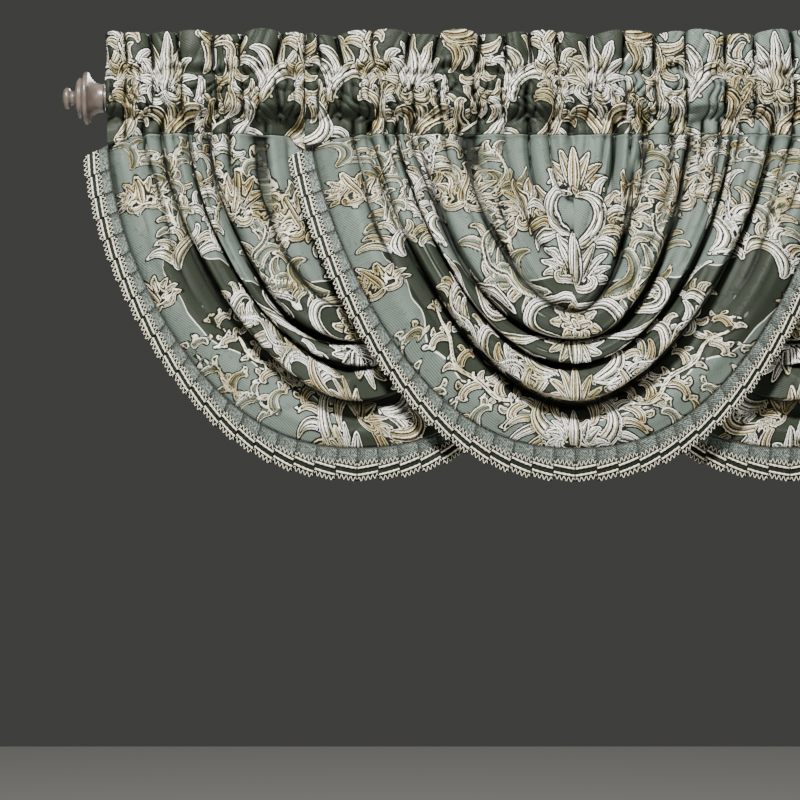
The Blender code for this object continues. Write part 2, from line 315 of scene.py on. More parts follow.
def sheet_faces(rows, columns):
    """Faces of a closed sheet: fine front, back with every second point.

    The rim joins three points of the front to two of the back.
    """
    index = np.arange(rows * columns).reshape(rows, columns)
    half_rows, half_columns = rows // 2 + 1, columns // 2 + 1
    back = rows * columns + np.arange(half_rows * half_columns).reshape(half_rows, half_columns)
    faces = grid_quads(rows, columns).tolist()
    faces += grid_quads(half_rows, half_columns, rows * columns)[:, ::-1].tolist()
    for front_line, back_line in ((index[0], back[0]), (index[-1], back[-1]),
                                  (index[:, 0], back[:, 0]), (index[:, -1], back[:, -1])):
        faces += np.stack([front_line[:-1:2], front_line[1::2], front_line[2::2],
                           back_line[1:], back_line[:-1]], axis=-1).tolist()
    return faces


def sheet_normals(front):
    """Unit normals of a grid of points, turned to the back, +Y."""
    normal = np.cross(np.gradient(front, axis=0), np.gradient(front, axis=1))
    size = np.linalg.norm(normal, axis=-1, keepdims=True)
    normal = np.where(size > 1e-9, normal / np.maximum(size, 1e-9), (0.0, 1.0, 0.0))
    return normal * np.where(normal[..., 1:2] < 0.0, -1.0, 1.0)


def tube(path, radius, sides, lobes=0.0, pitch=1.0, normal=(0.0, -1.0, 0.0)):
    """Points and quads of a tube along a path, twisted if it has lobes.

    The section is a circle whose radius swells twice a turn, and the swelling
    turns once round the path in one pitch.
    """
    path = np.asarray(path, float)
    along = np.gradient(path, axis=0)
    along /= np.linalg.norm(along, axis=1, keepdims=True)
    side = np.cross(along, np.broadcast_to(normal, along.shape))
    side /= np.linalg.norm(side, axis=1, keepdims=True)
    lift = np.cross(side, along)
    length = path_lengths(path)
    angle = np.linspace(0.0, 2.0 * math.pi, sides, endpoint=False)[None, :]
    swell = radius * (1.0 + lobes * np.cos(2.0 * (angle - length[:, None] / pitch * math.pi)))
    points = (path[:, None, :]
              + side[:, None, :] * (swell * np.cos(angle))[..., None]
              + lift[:, None, :] * (swell * np.sin(angle))[..., None])
    count = len(path)
    index = np.arange(count * sides).reshape(count, sides)
    after = np.roll(index, -1, axis=1)
    quads = np.stack([index[:-1], after[:-1], after[1:], index[1:]], axis=-1)
    quads = quads.reshape(-1, 4).tolist() + [index[0].tolist()[::-1], index[-1].tolist()]
    return points.reshape(-1, 3), quads


def join_parts(parts):
    """One list of points, faces and slots from (points, faces, slot) parts."""
    points, faces, slots, start = [], [], [], 0
    for part_points, part_faces, slot in parts:
        points.append(np.asarray(part_points).reshape(-1, 3))
        faces += [[start + index for index in face] for face in part_faces]
        slots += [slot] * len(part_faces)
        start += len(points[-1])
    return np.concatenate(points), faces, slots


def averaged(values, reaches):
    """Average of a grid over 2 * reach + 1 points along each axis."""
    for axis, reach in enumerate(reaches):
        first, last = values.take([0], axis), values.take([-1], axis)
        wide = np.concatenate([first] * (reach + 1) + [values] + [last] * reach, axis)
        total = np.cumsum(wide, axis)
        size = 2 * reach + 1
        values = (np.take(total, np.arange(size, total.shape[axis]), axis)
                  - np.take(total, np.arange(total.shape[axis] - size), axis)) / size
    return values


def hollows(depth, reaches, least, most):
    """How deep each point of a grid lies behind its surroundings, from 0 to 1."""
    return np.clip((averaged(depth, reaches) - depth - least) / (most - least), 0.0, 1.0)


# ---- drape ------------------------------------------------------------------


def fold_surface(side, level, turn, relief=True):
    """Points of the drape over levels and turns.

    A level is a curve that leaves the header at its reach to one side, falls
    to its drop below the seam and climbs to its reach on the other side:
    x = reach * sin(turn) ** pinch, z = top - fall * cos(turn) ** power.
    With relief, creases are pressed in between the folds, and small gathers
    run down from the seam.
    """
    middle, draw_left, draw_right = DRAPES[side]
    level, turn = np.broadcast_arrays(level[:, None], turn[None, :])
    seed = SEEDS[side]
    inside = np.sin(np.pi * np.clip(level / LAST_FOLD, 0.0, 1.0))
    shift = 0.16 * inside * wander(turn * 60.0 + level * 9.0, seed, 90.0)
    row = smooth_rows(FOLDS, level + shift * relief)
    across = np.abs(np.sin(turn))
    low = np.clip(np.cos(turn), 0.0, 1.0)
    left = turn < 0.0
    reach = np.where(left, -row[..., 0], row[..., 1])
    draw = np.where(left, draw_left, -draw_right) * np.abs(reach) / SEAM_REACH
    corner = middle + reach + draw
    x = middle + reach * across ** row[..., 3] + draw * across ** 12
    # The seam line is steepest at 328 mm, and the gap is wider there
    top = seam_height(side, corner) - SEAM_GAP
    top = top - 0.9 * np.exp(-((np.abs(corner) - 328.0) / 10.0) ** 4)
    bottom = np.minimum(SEAM_MIDDLE - SEAM_GAP - row[..., 2], top)
    z = top + (bottom - top) * low ** FALL_POWER
    stand = along_fold(row[..., 6], row[..., 5], row[..., 4], low)
    if relief:
        under = top - z
        open_part = np.clip(level * 3.0, 0.0, 1.0) * np.clip((LAST_FOLD - level) / 0.8, 0.0, 1.0)
        upper = row[..., 6] * (1.0 - low) ** 2 + row[..., 5] * low * (1.0 - low)
        stand = stand + 1.1 * upper * open_part
        for place, wide, deep_top, deep_flank, deep_low in CREASES:
            deep = along_fold(deep_top, deep_flank, deep_low, low)
            deep = deep * (0.85 + 0.4 * wander(turn * 60.0, seed + 3.0 * place, 70.0))
            lean = 0.32 * wander(turn * 50.0, seed + place, 60.0)
            near = (level - place - lean * inside) / wide
            stand = stand - deep * np.exp(-np.abs(near) ** 1.6) * open_part
        gather = np.exp(-(under / 150.0) ** 1.3) * open_part
        ridges = puckers(corner / 31.0 + 0.12 * np.sin(z / 30.0 + corner / 50.0), seed)
        stand = stand + 21.0 * gather * (ridges - 0.55)
        ripple = puckers(level * 1.3 + 0.5 * np.sin(turn * 3.0 + seed), seed)
        stand = stand + 1.4 * open_part * (ripple - 0.6) * (0.4 + low * (1.0 - low) * 3.0)
        stand = np.maximum(stand, -0.3 * stand_base(side, SEAM_MIDDLE - z))
        stand = stand + 2.0 * np.exp(-(under / 3.0) ** 2) * np.clip(level, 0.0, 1.0)
    y = -(stand_base(side, SEAM_MIDDLE - z) + stand)
    return np.stack([x, tuck(side, x, z, y), z], axis=-1)


def hem_surface(side, turn):
    """Points of the hem line, the trim's outer edge, by the drape's formula."""
    middle, draw_left, draw_right = DRAPES[side]
    across = np.abs(np.sin(turn))
    low = np.clip(np.cos(turn), 0.0, 1.0)
    left = turn < 0.0
    reach = np.where(left, -HEM_REACH, HEM_REACH)
    draw = np.where(left, draw_left, -draw_right)
    x = middle + reach * across ** HEM_PINCH + draw * across ** 12
    hidden = np.abs(middle + reach) < 200.0
    top = np.where(hidden, HEM_TOP - 6.0, HEM_TOP)
    z = top + (HEM_LOW - top) * low ** HEM_FALL_POWER
    y = -(stand_base(side, SEAM_MIDDLE - z) + 2.0 + 10.0 * low)
    return np.stack([x, tuck(side, x, z, y), z], axis=-1)


def even_turns(side, count):
    """Turns that stand at equal lengths along the seam with the trim."""
    dense = np.linspace(-HALF_TURN, HALF_TURN, 2001)
    line = fold_surface(side, np.array([LAST_FOLD * 1.0]), dense, False)[0][:, ::2]
    length = path_lengths(line)
    return np.interp(np.linspace(0.0, length[-1], count), length, dense)


def even_levels(count):
    """Levels that stand at equal lengths down the middle of the drape."""
    dense = np.linspace(0.0, LAST_FOLD, 2001)
    row = smooth_rows(FOLDS, dense)
    step = np.linalg.norm(np.diff(row[:, [2, 4]], axis=0), axis=1)
    length = np.concatenate([[0.0], np.cumsum(step)])
    return np.interp(np.linspace(0.0, length[-1], count), length, dense)


def flat_cloth(side, front, turn):
    """Place on the flat cloth, in millimetres, of each point of a drape.

    It is the place seen from the front, moved outwards by the length of cloth
    that the folds further in take up.
    """
    step = np.diff(front, axis=0)
    extra = np.linalg.norm(step, axis=-1) - np.linalg.norm(step[..., ::2], axis=-1)
    extra = np.concatenate([np.zeros((1, front.shape[1])), np.cumsum(extra, axis=0)])
    extra = averaged(extra, (2, 8))
    across = front[..., 0] - DRAPES[side][0] + extra * np.sin(turn)[None, :]
    down = SEAM_MIDDLE - front[..., 2] + extra * np.cos(turn)[None, :]
    return across, down


# ---- woven pattern ----------------------------------------------------------

CREAM, GOLD, SAGE = 0.0, 0.5, 1.0
# The drape's design is drawn for a cut of these sizes, the header's repeats
DESIGN_HALF, DESIGN_TALL = 405.0, 505.0
HEADER_REPEAT = 320.0
# A stroke covers what lies this far outside it, its dark outline
OUTLINE = 1.7
FAR_OUTSIDE = -12.0


def curl(start, heading, length, bend, width, tone=CREAM):
    """Curl: a band that leaves its start and bends more and more towards its tip."""
    part = np.linspace(0.0, 1.0, 22)
    angle = np.radians(heading + bend * (0.35 * part + 0.65 * part ** 2.4))
    step = np.stack([np.cos(angle), np.sin(angle)], axis=1) * length / 21.0
    path = np.array(start, float) + np.cumsum(step, axis=0) - step[0]
    return path, width * (0.16 + 0.84 * np.sin(np.pi * (0.04 + 0.96 * part) ** 0.8) ** 0.7), tone


def scroll(centre, radius, first, turns, width, tone=CREAM):
    """Scroll: a band that winds in to its centre and ends in a round eye."""
    part = np.linspace(0.0, 1.0, int(14 + 18 * abs(turns)))
    angle = math.radians(first) + turns * 2.0 * math.pi * part
    size = radius * (1.0 - 0.80 * part ** 0.85)
    path = np.array(centre) + np.stack([np.cos(angle), np.sin(angle)], axis=1) * size[:, None]
    thick = width * (0.20 + 0.80 * np.sin(np.pi * np.clip(part * 0.85, 0.0, 1.0)) ** 0.6)
    thick[-3:] = width * 0.9
    return path, thick, tone


def band(points, width, tone=CREAM):
    """Band: a smooth line through a few points, thinner at its ends."""
    points = np.array(points, float)
    place = np.linspace(0.0, len(points) - 1.0, 9 * len(points))
    thick = width * (0.25 + 0.75 * np.sin(np.pi * place / place[-1]) ** 0.7)
    return smooth_rows(points, place), thick, tone


def ring(centre, wide, tall, width, tone=CREAM):
    """Oval ring."""
    angle = np.linspace(0.0, 2.0 * math.pi, 40)
    path = np.array(centre) + np.stack([wide * np.cos(angle), tall * np.sin(angle)], axis=1)
    return path, np.full(40, width), tone


def fan(centre, facing, spread, count, length, width, tone=CREAM):
    """Palmette: leaves that spread from a foot and bend outwards, the middle one on top."""
    strokes = []
    for part in sorted(np.linspace(-1.0, 1.0, count), key=abs, reverse=True):
        size = length * (1.0 - 0.30 * abs(part))
        strokes.append(curl(centre, facing + part * spread * 0.7, size, part * 70.0,
                            width * (1.0 - 0.20 * abs(part)), tone))
    for hand in (-1.0, 1.0):
        strokes.append(curl(centre, facing + 180.0 - hand * 40.0, length * 0.62,
                            -hand * 230.0, width * 0.7, tone))
    return strokes


def rosette(centre, radius, count, width, tone=CREAM):
    """Round flower: two rows of petals and a button."""
    strokes = []
    for share, turn, size in ((1.0, 0.0, 1.0), (0.62, 0.5, 0.8)):
        for number in range(count):
            strokes.append(curl(centre, 360.0 * (number + turn) / count,
                                radius * share, 40.0, width * size, tone))
    centre = np.array(centre, float)
    strokes.append((np.stack([centre, centre + 0.1]), np.full(2, width * 0.6), GOLD))
    return strokes


def acanthus(start, heading, length, bend, width, lobes, tone=CREAM, other=None):
    """Acanthus leaf: a curl with smaller curls along its outer side that bend back."""
    main = curl(start, heading, length, bend, width, tone)
    path = main[0]
    hand = math.copysign(1.0, bend)
    strokes = []
    for number in range(lobes):
        part = number / max(lobes - 1, 1)
        row = int(1 + 14 * part)
        along = path[row + 1] - path[row]
        facing = math.degrees(math.atan2(along[1], along[0]))
        size = length * (0.66 - 0.26 * part)
        strokes.append(curl(path[row], facing - hand * 30.0, size, -hand * 110.0,
                            width * (0.80 - 0.22 * part),
                            other if number % 2 and other is not None else tone))
    return strokes[::-1] + [main]


def rinceau(points, leaves, size, width, lobes, tone=CREAM, other=None):
    """Running scroll: a stem with acanthus leaves that curl off its two sides in turn.

    The stem sways from leaf to leaf by a sine, 9% of a leaf's length to each side.
    """
    spine, thick, _ = band(points, width * 0.34)
    along = np.gradient(spine, axis=0)
    aside = along[:, ::-1] * (-1.0, 1.0) / np.hypot(along[:, :1], along[:, 1:])
    sway = np.sin(np.pi * leaves * np.linspace(0.0, 1.0, len(spine)))
    spine = spine + aside * (0.09 * size * sway)[:, None]
    strokes = []
    for number in reversed(range(leaves)):
        part = 0.02 + 0.94 * number / max(leaves - 1, 1)
        row = int(part * (len(spine) - 2))
        along = spine[row + 1] - spine[row]
        facing = math.degrees(math.atan2(along[1], along[0]))
        hand = 1.0 if number % 2 else -1.0
        strokes += acanthus(spine[row], facing + hand * 26.0, size * (1.0 - 0.35 * part),
                            hand * 190.0, width * (1.0 - 0.25 * part), lobes, tone, other)
    return strokes + [(spine, thick, tone)]


def mirrored(strokes):
    """The strokes and their mirror images across the line x = 0."""
    return strokes + [(path * (-1.0, 1.0), thick, tone) for path, thick, tone in strokes]


def draw_figures(strokes, across, down):
    """Depth inside the drawn figures, the tone, the strand and the length along each.

    The depth is in millimetres and minus outside. A stroke's own depth is the
    largest, over its straight pieces, of the half width less the distance to
    it. The strand is the place across the stroke, from -1 to 1. A later stroke
    covers the earlier ones, its dark outline too.
    """
    shape = across.shape
    places = np.stack([across.ravel(), down.ravel()], axis=1)
    order = np.argsort(places[:, 1], kind="stable")
    places = places[order]
    result = np.zeros((4, len(places)))
    result[0] = FAR_OUTSIDE
    for path, thick, tone in strokes:
        low = path.min(axis=0) - thick.max() - 4.0
        high = path.max(axis=0) + thick.max() + 4.0
        first, last = np.searchsorted(places[:, 1], (low[1], high[1]))
        strip = places[first:last, 0]
        near = first + np.flatnonzero((strip > low[0]) & (strip < high[0]))
        if len(near) == 0:
            continue
        here = places[near]
        best = np.full(len(near), FAR_OUTSIDE)
        strand, length = np.zeros(len(near)), np.zeros(len(near))
        done = 0.0
        for start, end, wide, narrow in zip(path[:-1], path[1:], thick[:-1], thick[1:]):
            step = end - start
            size = max(float(np.hypot(*step)), 1e-6)
            away = here - start
            part = np.clip(away @ step / size ** 2, 0.0, 1.0)
            half = wide + (narrow - wide) * part
            aside = (away[:, 1] * step[0] - away[:, 0] * step[1]) / size
            inside = half - np.hypot(away[:, 0] - part * step[0], away[:, 1] - part * step[1])
            better = inside > best
            best = np.where(better, inside, best)
            strand = np.where(better, aside / half, strand)
            length = np.where(better, done + part * size, length)
            done += size
        over = best > -OUTLINE
        result[0, near] = np.where(over, best, np.maximum(result[0, near], best))
        for row, values in ((1, tone), (2, np.clip(strand, -1.0, 1.0)), (3, length)):
            result[row, near] = np.where(over, values, result[row, near])
    ordered = np.empty_like(result)
    ordered[:, order] = result
    return [row.reshape(shape) for row in ordered]


def drape_pattern():
    """Strokes of the drape's damask on the flat cloth, down from the header.

    Mirrored about the drape's middle: a tower of palmettes and medallions
    down the middle and, to each side, running scrolls of acanthus and flowers.
    """
    side = []
    # Upper field, on sage
    side += rinceau([(30.0, 200.0), (84.0, 206.0), (120.0, 160.0), (100.0, 96.0), (116.0, 30.0)],
                    6, 84.0, 9.0, 4, SAGE, GOLD)
    side += rinceau([(196.0, 206.0), (238.0, 160.0), (226.0, 92.0), (190.0, 40.0), (206.0, -10.0)],
                    6, 88.0, 9.8, 5, CREAM, GOLD)
    side += fan((150.0, 116.0), -90.0, 92.0, 9, 66.0, 8.2, GOLD)
    side += fan((60.0, 120.0), -60.0, 92.0, 9, 56.0, 7.4, GOLD)
    side += rinceau([(286.0, 200.0), (322.0, 150.0), (308.0, 84.0), (270.0, 30.0)],
                    5, 78.0, 8.8, 4, SAGE, GOLD)
    side += fan((350.0, 150.0), -70.0, 92.0, 9, 58.0, 7.6, GOLD)
    side += acanthus((374.0, 80.0), -120.0, 84.0, 170.0, 8.8, 4, SAGE, GOLD)
    # Dark field
    side += [band([(14.0, 276.0), (70.0, 296.0), (134.0, 272.0), (196.0, 222.0)], 6.4, CREAM)]
    side += rinceau([(24.0, 372.0), (92.0, 360.0), (150.0, 326.0), (196.0, 286.0)],
                    5, 84.0, 9.6, 5, CREAM, GOLD)
    side += [scroll((98.0, 246.0), 34.0, 200.0, 1.3, 8.0, CREAM)]
    side += acanthus((286.0, 250.0), -70.0, 84.0, -180.0, 9.4, 5, CREAM, GOLD)
    side += rinceau([(30.0, 446.0), (104.0, 432.0), (176.0, 384.0), (236.0, 322.0)],
                    7, 50.0, 7.0, 4, GOLD, CREAM)
    # Outer border, on sage
    side += rinceau([(120.0, 478.0), (190.0, 440.0), (258.0, 366.0)], 5, 50.0, 6.8, 3, SAGE, GOLD)
    side += fan((304.0, 310.0), -52.0, 92.0, 9, 52.0, 7.0, GOLD)
    strokes = mirrored(side)
    strokes += fan((0.0, 66.0), -90.0, 92.0, 9, 50.0, 6.4, GOLD)
    strokes += mirrored(acanthus((4.0, 128.0), -30.0, 84.0, -170.0, 8.2, 5, CREAM, GOLD))
    strokes += fan((0.0, 176.0), -90.0, 96.0, 9, 56.0, 7.2, CREAM)
    strokes += [ring((0.0, 236.0), 50.0, 32.0, 6.6, CREAM)]
    strokes += rosette((0.0, 236.0), 28.0, 7, 7.4, GOLD)
    strokes += fan((0.0, 284.0), 90.0, 96.0, 9, 52.0, 7.8, CREAM)
    strokes += mirrored(acanthus((6.0, 408.0), 16.0, 104.0, -160.0, 9.4, 4, GOLD, CREAM))
    strokes += fan((0.0, 416.0), -90.0, 92.0, 9, 60.0, 7.6, GOLD)
    strokes += mirrored(acanthus((6.0, 496.0), -8.0, 104.0, -150.0, 9.6, 5, CREAM, GOLD))
    strokes += fan((0.0, 502.0), -90.0, 92.0, 9, 56.0, 8.0, CREAM)
    return strokes


def drape_ground(across, down):
    """How far a place of the flat drape is inside the dark satin ground."""
    reach = np.abs(across)
    upper = np.interp(reach, (0.0, 40.0, 90.0, 150.0, 215.0, 250.0, 306.0),
                      (160.0, 180.0, 214.0, 224.0, 222.0, 206.0, 206.0))
    outer = np.interp(reach, (0.0, 83.0, 145.0, 232.0, 262.0, 306.0, 318.0),
                      (470.0, 452.0, 418.0, 368.0, 330.0, 262.0, 190.0))
    scallop = 6.0 * np.abs(np.sin(reach / 17.0))
    return np.minimum(down - upper - scallop, (outer - down - scallop) * 0.7)


def header_pattern():
    """Strokes of a header's damask, across the gathers and down from the top."""
    strokes = []
    for start in np.arange(-880.0, 721.0, HEADER_REPEAT):
        group = rinceau([(20.0, 132.0), (62.0, 108.0), (66.0, 56.0), (30.0, 16.0)],
                        4, 88.0, 10.0, 5, GOLD, CREAM)
        group += acanthus((126.0, 146.0), -80.0, 116.0, 200.0, 11.4, 5, GOLD, CREAM)
        group += rinceau([(172.0, 4.0), (222.0, 22.0), (240.0, 76.0), (206.0, 124.0)],
                         4, 84.0, 9.4, 5, GOLD, CREAM)
        group += acanthus((216.0, 140.0), 10.0, 110.0, -190.0, 10.0, 4, CREAM, GOLD)
        group += acanthus((292.0, 84.0), -70.0, 104.0, 190.0, 10.4, 5, CREAM)
        group += fan((118.0, 78.0), -90.0, 96.0, 9, 74.0, 9.0, CREAM)
        strokes += [(path + (start, 0.0), thick, tone) for path, thick, tone in group]
    return strokes


# ---- materials --------------------------------------------------------------


# Colours of the threads across a leaf, from one edge (0) to the other (1)
CREAM_THREADS = (
    (0.0, "#a69a74"), (0.16, "#978a61"), (0.19, "#f9f7ef"), (0.31, "#f9f7ef"),
    (0.33, "#10110b"), (0.43, "#10110b"), (0.45, "#f9f7ef"), (0.59, "#f9f7ef"),
    (0.61, "#8b7e57"), (0.73, "#7b8073"), (0.75, "#10110b"), (0.84, "#10110b"),
    (0.86, "#f9f7ef"), (1.0, "#f9f7ef"),
)
GOLD_THREADS = (
    (0.0, "#93855c"), (0.20, "#7f714a"), (0.23, "#e8e0c9"), (0.31, "#e8e0c9"),
    (0.33, "#17140b"), (0.42, "#17140b"), (0.44, "#93855c"), (0.60, "#84764e"),
    (0.63, "#f0ead8"), (0.70, "#f0ead8"), (0.73, "#7f714a"), (0.78, "#17140b"),
    (0.86, "#17140b"), (0.88, "#9a8b5e"),
)
SAGE_THREADS = (
    (0.0, "#5d675f"), (0.26, "#677168"), (0.29, "#a99d74"), (0.37, "#998c62"),
    (0.40, "#1f251f"), (0.46, "#1f251f"), (0.49, "#5d675f"), (0.74, "#677168"),
    (0.77, "#d6d0b8"), (0.84, "#d6d0b8"), (0.87, "#272e27"), (1.0, "#5d675f"),
)
# Settings of a soft edge from 0 to 1, and of a mix of two colours
SOFT_EDGE = {"interpolation_type": "SMOOTHSTEP"}
COLOURS = {"out": 2, "data_type": "RGBA"}


def hex_colour(code):
    """Linear colour from an sRGB hex value."""
    values = [int(code[place:place + 2], 16) / 255.0 for place in (1, 3, 5)]
    return tuple(v / 12.92 if v <= 0.04045 else ((v + 0.055) / 1.055) ** 2.4
                 for v in values) + (1.0,)


def new_material(name, roughness, **sockets):
    """Material with its Principled shader's own sockets set."""
    material = bpy.data.materials.new(name)
    material.use_nodes = True
    shader = material.node_tree.nodes["Principled BSDF"]
    shader.inputs["Roughness"].default_value = roughness
    for socket, value in sockets.items():
        shader.inputs[socket.replace("_", " ")].default_value = value
    return material, material.node_tree, shader


def add(tree, kind, links=(), out=0, stops=(), **settings):
    """One new node with its settings and links. Gives its output.

    The links go to the inputs in order, or by name or number in a dict. Each
    is a node's output, a plain value or a hex colour. The stops are a colour
    ramp's (place, hex colour) rows.
    """
    node = tree.nodes.new("ShaderNode" + kind)
    for key, value in settings.items():
        setattr(node, key, value)
    for key, value in dict(links if isinstance(links, dict) else enumerate(links)).items():
        if isinstance(value, bpy.types.NodeSocket):
            tree.links.new(value, node.inputs[key])
        else:
            node.inputs[key].default_value = hex_colour(value) if isinstance(value, str) else value
    elements = node.color_ramp.elements if stops else ()
    while len(elements) < len(stops):
        elements.new(0.5)
    for element, (place, code) in zip(elements, stops):
        element.position = place
        element.color = hex_colour(code)
    return node.outputs[out]


def flat_place(tree, degrees=0.0):
    """Place on the flat cloth in millimetres, from the UV map, turned."""
    place = add(tree, "UVMap", uv_map="cloth")
    return add(tree, "Mapping", {0: place, 2: (0.0, 0.0, math.radians(degrees))})


def damask_material():
    """Polyester jacquard damask, woven.

    Sage twill and dark green satin grounds, and figures of cream, gold and
    sage weft. The figure's depth draws its outline and its rim. The strand,
    the place across a leaf from one edge to the other, draws the threads
    that run along it.
    """
    material, tree, shader = new_material("woven_damask", 0.55, Specular_IOR_Level=0.16)
    figure, ground, tone, strand, vein, wrong, painted_fold_shade = [
        add(tree, "Attribute", out="Fac", attribute_name=name)
        for name in ("figure", "ground", "tone", "strand", "vein", "reverse", "painted_fold_shade")]
    flat = flat_place(tree)
    # Thread noise of about 3 mm makes the figures' edges uneven as woven steps
    uneven = add(tree, "TexNoise", {"Vector": flat, "Scale": 0.35, "Detail": 3.0}, "Fac")
    inset = add(tree, "Math", (figure, 0.8), operation="SUBTRACT")
    depth = add(tree, "Math", (uneven, 1.6, inset), operation="MULTIPLY_ADD")
    # Twill: ribs at 63 degrees, 2.6 mm apart, coarser than the real 1 mm to show
    rib = add(tree, "TexWave",
              {"Vector": flat_place(tree, 63.0), "Scale": 0.12, "Distortion": 0.6,
               "Detail": 1.0, "Detail Scale": 0.6},
              "Fac", wave_type="BANDS", bands_direction="X")
    sage = add(tree, "ValToRGB", (rib,),
               stops=((0.0, "#4e5850"), (0.5, "#5f6961"), (1.0, "#6b766d")))
    satin = add(tree, "ValToRGB", (rib,), stops=((0.0, "#22271f"), (1.0, "#31372c")))
    # Crinkles where the weave blisters, about 12 mm long: the bump sinks them in, and their dark
    # lines are painted shade in these small creases
    vague = add(tree, "TexNoise",
                {"Vector": flat, "Scale": 0.09, "Detail": 2.0, "Distortion": 0.6}, "Fac")
    off_line = add(tree, "Math", (vague, 0.5), operation="SUBTRACT")
    off_line = add(tree, "Math", (off_line,), operation="ABSOLUTE")
    off_line = add(tree, "MapRange", (off_line, 0.002, 0.022), **SOFT_EDGE)
    line = add(tree, "Math", (1.0, off_line), operation="SUBTRACT")
    somewhere = add(tree, "TexNoise", {"Vector": flat, "Scale": 0.05, "Detail": 1.0}, "Fac")
    somewhere = add(tree, "MapRange", (somewhere, 0.48, 0.56), **SOFT_EDGE)
    crinkle = add(tree, "Math", (line, somewhere), operation="MULTIPLY")
    share = add(tree, "Math", (crinkle, 0.6), operation="MULTIPLY")
    sage = add(tree, "Mix", {0: share, 6: sage, 7: "#4b534b"}, **COLOURS)
    # The satin ground, and a pale line where it meets the sage
    dark = add(tree, "MapRange", (ground, -0.4, 0.4), **SOFT_EDGE)
    base = add(tree, "Mix", {0: dark, 6: sage, 7: satin}, **COLOURS)
    off_edge = add(tree, "Math", (ground,), operation="ABSOLUTE")
    off_edge = add(tree, "MapRange", (off_edge, 0.5, 1.0), **SOFT_EDGE)
    edge = add(tree, "Math", (1.0, off_edge), operation="SUBTRACT")
    base = add(tree, "Mix", {0: edge, 6: base, 7: "#dedaca"}, **COLOURS)
    # Strands run lengthwise in each figure, from one edge (0) to the other (1)
    middle = add(tree, "Math", (uneven, 0.12, 0.44), operation="MULTIPLY_ADD")
    place = add(tree, "Math", (strand, 0.5, middle), operation="MULTIPLY_ADD")
    cream, gold, green = [add(tree, "ValToRGB", (place,), stops=stops)
                          for stops in (CREAM_THREADS, GOLD_THREADS, SAGE_THREADS)]
    not_cream = add(tree, "MapRange", (tone, 0.22, 0.28), **SOFT_EDGE)
    pale = add(tree, "MapRange", (tone, 0.72, 0.78), **SOFT_EDGE)
    inner = add(tree, "Mix", {0: not_cream, 6: cream, 7: gold}, **COLOURS)
    inner = add(tree, "Mix", {0: pale, 6: inner, 7: green}, **COLOURS)
    # A dark line inside each figure's light rim
    past_line = add(tree, "MapRange", (depth, 2.0, 2.4), **SOFT_EDGE)
    inner = add(tree, "Mix", {0: past_line, 6: "#1a1c14", 7: inner}, **COLOURS)
    past_rim = add(tree, "MapRange", (depth, 1.1, 1.5), **SOFT_EDGE)
    rim = add(tree, "Mix", {0: not_cream, 6: "#f7f5ec", 7: "#e6dec6"}, **COLOURS)
    inner = add(tree, "Mix", {0: past_rim, 6: rim, 7: inner}, **COLOURS)
    # Weft floats: slanting veins 4.5 mm apart along each leaf
    along = add(tree, "Math", (uneven, 4.0, vein), operation="MULTIPLY_ADD")
    slant = add(tree, "Math", (depth, -1.1, along), operation="MULTIPLY_ADD")
    slant = add(tree, "Math", (slant, 1.4), operation="MULTIPLY")
    wave = add(tree, "Math", (slant,), operation="SINE")
    floats = add(tree, "Math", (wave, 0.5, 0.5), operation="MULTIPLY_ADD")
    deep = add(tree, "MapRange", (depth, 1.8, 3.0), **SOFT_EDGE)
    share = add(tree, "Math", (floats, deep), operation="MULTIPLY")
    share = add(tree, "Math", (share, 0.3), operation="MULTIPLY")
    inner = add(tree, "Mix", {0: share, 6: inner, 7: "#7d786a"}, blend_type="MULTIPLY", **COLOURS)
    # Warmer weft in patches of about 50 mm
    patches = add(tree, "TexNoise", {"Vector": flat, "Scale": 0.02, "Detail": 1.0}, "Fac")
    patches = add(tree, "MapRange", (patches, 0.50, 0.60), **SOFT_EDGE)
    inner = add(tree, "Mix", {0: patches, 6: inner, 7: "#c9c3a9"}, blend_type="MULTIPLY",
                **COLOURS)
    # The sage figures have a thin outline, the others a darker one of 2 mm
    inside = add(tree, "MapRange", (depth, -0.15, 0.15), **SOFT_EDGE)
    reach = add(tree, "Math", (pale, -1.0, depth), operation="MULTIPLY_ADD")
    reach = add(tree, "MapRange", (reach, -2.3, -1.7), **SOFT_EDGE)
    outline = add(tree, "Math", (reach, inside), operation="SUBTRACT", use_clamp=True)
    around = add(tree, "Mix", {0: pale, 6: "#14170f", 7: "#3d463d"}, **COLOURS)
    colour = add(tree, "Mix", {0: outline, 6: base, 7: around}, **COLOURS)
    colour = add(tree, "Mix", {0: inside, 6: colour, 7: inner}, **COLOURS)
    # The wrong side of the weave shows the design faintly, under loose threads
    share = add(tree, "Math", (wrong, 0.6), operation="MULTIPLY")
    colour = add(tree, "Mix", {0: share, 6: colour, 7: "#6d7468"}, **COLOURS)
    # Painted shade: the colour is darkened deep in the folds, where a point lies behind its
    # surroundings
    colour = add(tree, "Mix", {0: painted_fold_shade, 6: colour, 7: "#34372e"}, blend_type="MULTIPLY",
                 **COLOURS)
    tree.links.new(colour, shader.inputs["Base Color"])
    # Satin floats shine more than the twill and the figures
    around = add(tree, "Math", (1.0, inside), operation="SUBTRACT")
    share = add(tree, "Math", (dark, around), operation="MULTIPLY")
    shine = add(tree, "Math", (share, -0.07, 0.62), operation="MULTIPLY_ADD")
    tree.links.new(shine, shader.inputs["Roughness"])
